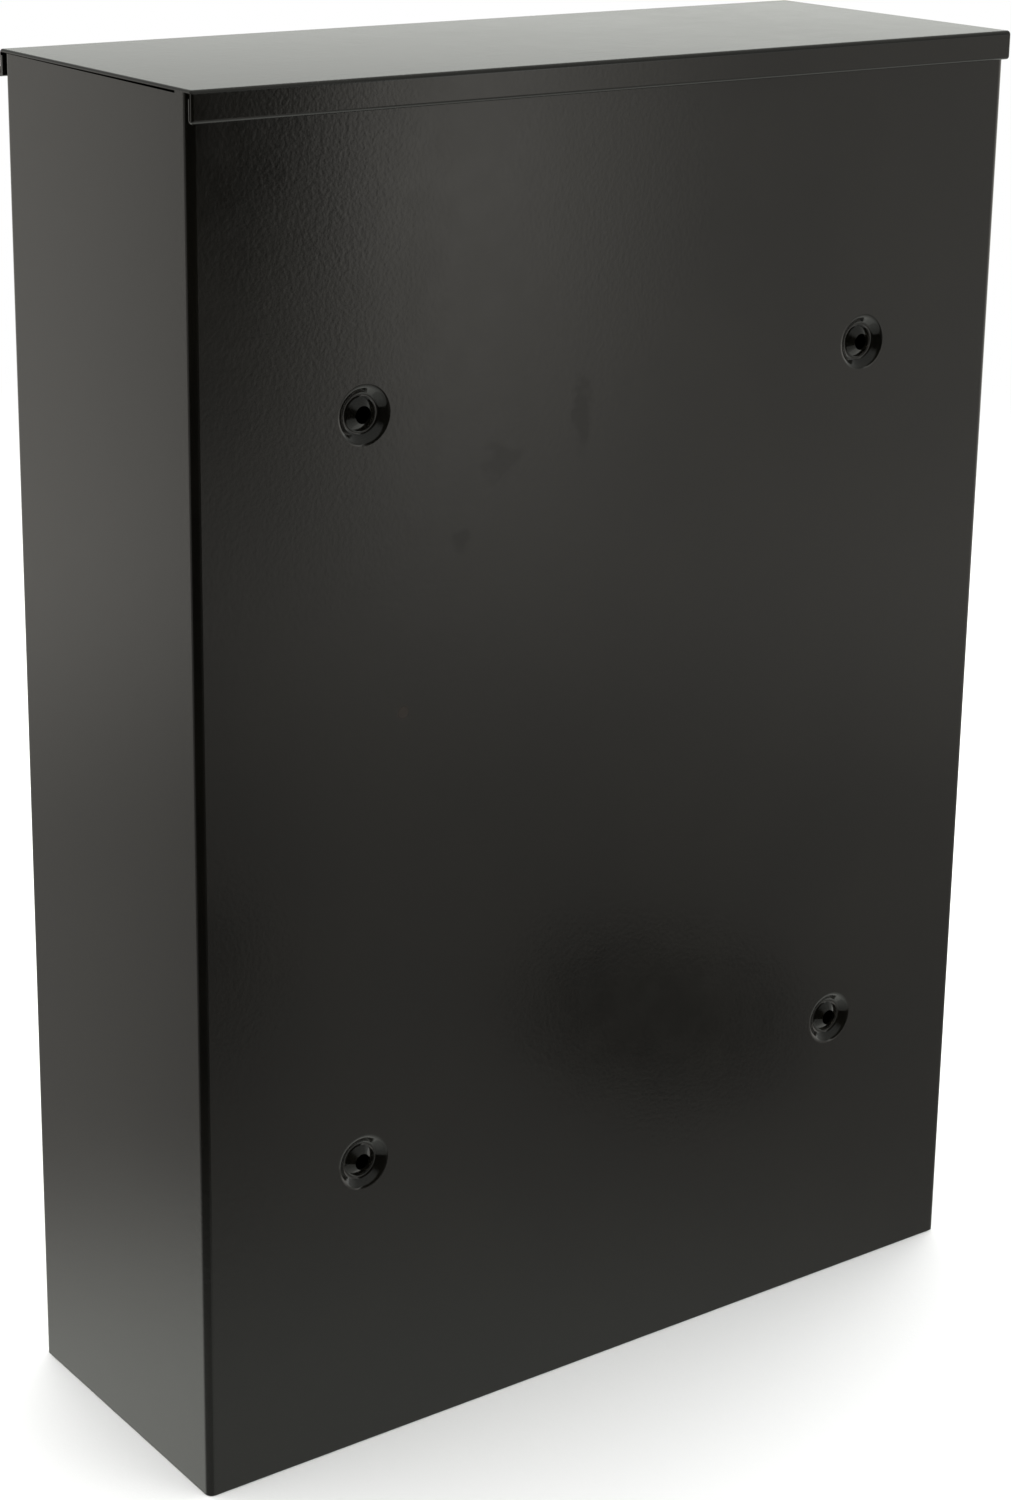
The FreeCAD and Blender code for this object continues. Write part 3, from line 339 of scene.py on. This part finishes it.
def nylon(name):
    """Natural nylon: warm white, slightly translucent, with a dull moulded surface."""
    material, graph = new_material(name)
    place = object_place(graph)
    cloud = graph.ramp(graph.noise(place, 2 * MM, 3.0), 0.3, 0.7)
    shader = graph.add("ShaderNodeBsdfPrincipled", {
        "Base Color": graph.mix(cloud, grey(0.62, 0.04), grey(0.70, 0.05)),
        "Roughness": graph.ramp(cloud, 0.0, 1.0, 0.38, 0.52),
        "Subsurface Weight": 0.15,
        "Subsurface Scale": 0.5 * MM,
        "Normal": graph.bump(graph.noise(place, 0.4 * MM, 2.0), 0.010 * MM),
    })
    graph.output("ShaderNodeOutputMaterial", shader.outputs["BSDF"])
    return material


def rubber(name):
    """Dark grey rubber with a pale bloom and a fine matt grain."""
    material, graph = new_material(name)
    place = object_place(graph)
    bloom = graph.ramp(graph.noise(place, 1.5 * MM, 4.0), 0.35, 0.75)
    shader = graph.add("ShaderNodeBsdfPrincipled", {
        "Base Color": graph.mix(bloom, grey(0.030), grey(0.048, 0.03)),
        "Roughness": graph.ramp(bloom, 0.0, 1.0, 0.62, 0.82),
        "Normal": graph.bump(graph.noise(place, 0.3 * MM, 2.0), 0.020 * MM),
    })
    graph.output("ShaderNodeOutputMaterial", shader.outputs["BSDF"])
    return material


def finish_nodes():
    """Give every CAD node its finish."""
    low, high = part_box("lock_plug")
    lock_centre = (low + high) / 2
    coat = powder_coat("powder_coat")
    zinc = zinc_plate("zinc_plate")
    chrome = turned_chrome("turned_chrome", lock_centre)
    finishes = {
        "body_shell": powder_coat("powder_coat_back", marked=True),
        "hinge_bush_lower": nylon("nylon"),
        "door_bumpers": rubber("rubber"),
        "lock_body": chrome,
        "lock_plug": chrome,
    }
    finishes["hinge_bush_upper"] = finishes["hinge_bush_lower"]
    finishes["flap_bumpers"] = finishes["door_bumpers"]
    for name in ("roof_panel", "bottom_panel", "slot_fascia", "slot_flap", "door_panel"):
        finishes[name] = coat
    for name, node in NODES.items():
        node.data.materials.clear()
        node.data.materials.append(finishes.get(name, zinc))


# ---------------------------------------------------------------- floor, light and camera


def surroundings(graph):
    """The brightness and tint of what stands in each direction, as two node outputs."""
    toward = graph.add("ShaderNodeTexCoord", {}).outputs["Generated"]
    axes = graph.add("ShaderNodeSeparateXYZ", {0: toward}).outputs
    turn = graph.maths("ARCTAN2", axes["X"], graph.maths("MULTIPLY", axes["Y"], -1.0))
    compass = graph.maths("DEGREES", turn)
    elevation = graph.maths("DEGREES", graph.maths("ARCSINE", axes["Z"]))

    low_share = graph.profile(elevation, LOW_SHARE)
    wall = graph.blend(low_share, graph.profile(compass, HIGH_WALLS), graph.profile(compass, LOW_WALLS))
    wall = graph.maths("MULTIPLY", wall, graph.profile(elevation, WALL_BY_HEIGHT))
    table_share = graph.profile(elevation, TABLE_SHARE)
    table = graph.maths("MULTIPLY", graph.profile(compass, TABLE), graph.profile(elevation, TABLE_BY_HEIGHT))
    level = graph.blend(table_share, wall, table)
    level = graph.blend(graph.profile(elevation, CEILING_SHARE), level, CEILING)
    for thing in DARK_THINGS:
        level = graph.maths("MULTIPLY", level, graph.spot(compass, elevation, *thing))

    lower_tint = graph.mix(table_share, WALL_TINT, TABLE_TINT)
    return level, graph.mix(graph.ramp(elevation, *HORIZON), lower_tint, UPPER_TINT)


def make_world():
    """White walls, a table and a ceiling for the light, and a plain white page for the camera."""
    world = bpy.data.worlds.new("studio")
    world.use_nodes = True
    bpy.context.scene.world = world
    graph = Graph(world.node_tree)
    level, tint = surroundings(graph)
    studio = graph.add("ShaderNodeBackground", {"Color": tint, "Strength": level}).outputs["Background"]
    page = graph.add("ShaderNodeBackground", {"Color": PAGE_WHITE, "Strength": 1.0}).outputs["Background"]
    seen = graph.add("ShaderNodeLightPath", {}).outputs["Is Camera Ray"]
    both = graph.add("ShaderNodeMixShader", {0: seen, 1: studio, 2: page}).outputs["Shader"]
    graph.output("ShaderNodeOutputWorld", both)


def make_floor():
    """A pale matt floor that fades into the page, and that is clear from below."""
    half = FLOOR_FADE[1]
    level = CAD_BOX[0].z - FLOOR_BELOW
    corners = [(x * half, y * half, level) for x, y in ((-1, -1), (1, -1), (1, 1), (-1, 1))]
    mesh = bpy.data.meshes.new("floor")
    mesh.from_pydata(corners, [], [(0, 1, 2, 3)])
    floor = bpy.data.objects.new("floor", mesh)
    bpy.context.scene.collection.objects.link(floor)
    material, graph = new_material("floor_paper")
    place = object_place(graph)
    tone = graph.ramp(graph.noise(place, 0.4, 2.0), 0.3, 0.7)
    paper = graph.add("ShaderNodeBsdfPrincipled", {
        "Base Color": graph.mix(tone, grey(0.86, 0.01), grey(0.83)),
        "Roughness": 0.9,
        "Normal": graph.bump(graph.noise(place, 1 * MM, 2.0), 0.05 * MM),
    }).outputs["BSDF"]
    reach = graph.length(graph.vector_maths("MULTIPLY", place, (1, 1, 0)))
    below = graph.add("ShaderNodeNewGeometry", {}).outputs["Backfacing"]
    gone = graph.maths("MAXIMUM", graph.ramp(reach, *FLOOR_FADE), below)
    clear = graph.add("ShaderNodeBsdfTransparent", {}).outputs["BSDF"]
    surface = graph.add("ShaderNodeMixShader", {0: gone, 1: paper, 2: clear}).outputs["Shader"]
    graph.output("ShaderNodeOutputMaterial", surface)
    mesh.materials.append(material)
    floor.visible_glossy = False


def make_light(name, compass, elevation, distance, size, power):
    """A square soft light that points at the middle of the mailbox and that no surface mirrors."""
    data = bpy.data.lights.new(name, "AREA")
    data.shape = "SQUARE"
    data.size = size
    data.energy = power
    light = bpy.data.objects.new(name, data)
    bpy.context.scene.collection.objects.link(light)
    middle = (CAD_BOX[0] + CAD_BOX[1]) / 2
    toward = direction(compass, elevation)
    light.location = middle + toward * distance
    light.rotation_mode = "QUATERNION"
    light.rotation_quaternion = toward.to_track_quat("Z", "Y")
    light.visible_camera = False
    light.visible_glossy = False


def make_camera():
    """The camera at the photograph's viewing angle, with its depth of field off."""
    data = bpy.data.cameras.new("camera")
    data.lens = CAMERA_LENS
    data.sensor_width = CAMERA_SENSOR
    data.shift_y = CAMERA_RISE
    data.clip_start = CAMERA_NEAR
    camera = bpy.data.objects.new("camera", data)
    bpy.context.scene.collection.objects.link(camera)
    aim = direction(CAMERA_COMPASS, CAMERA_ABOVE).to_track_quat("Z", "Y").to_matrix().to_4x4()
    roll = Matrix.Rotation(math.radians(CAMERA_ROLL), 4, "Z")
    camera.matrix_world = Matrix.Translation(CAMERA_PLACE) @ aim @ roll
    bpy.context.scene.camera = camera


finish_nodes()
make_world()
make_floor()
make_light("overhead_light", *OVERHEAD_LIGHT)
make_camera()
bpy.context.scene.view_settings.view_transform = "Standard"
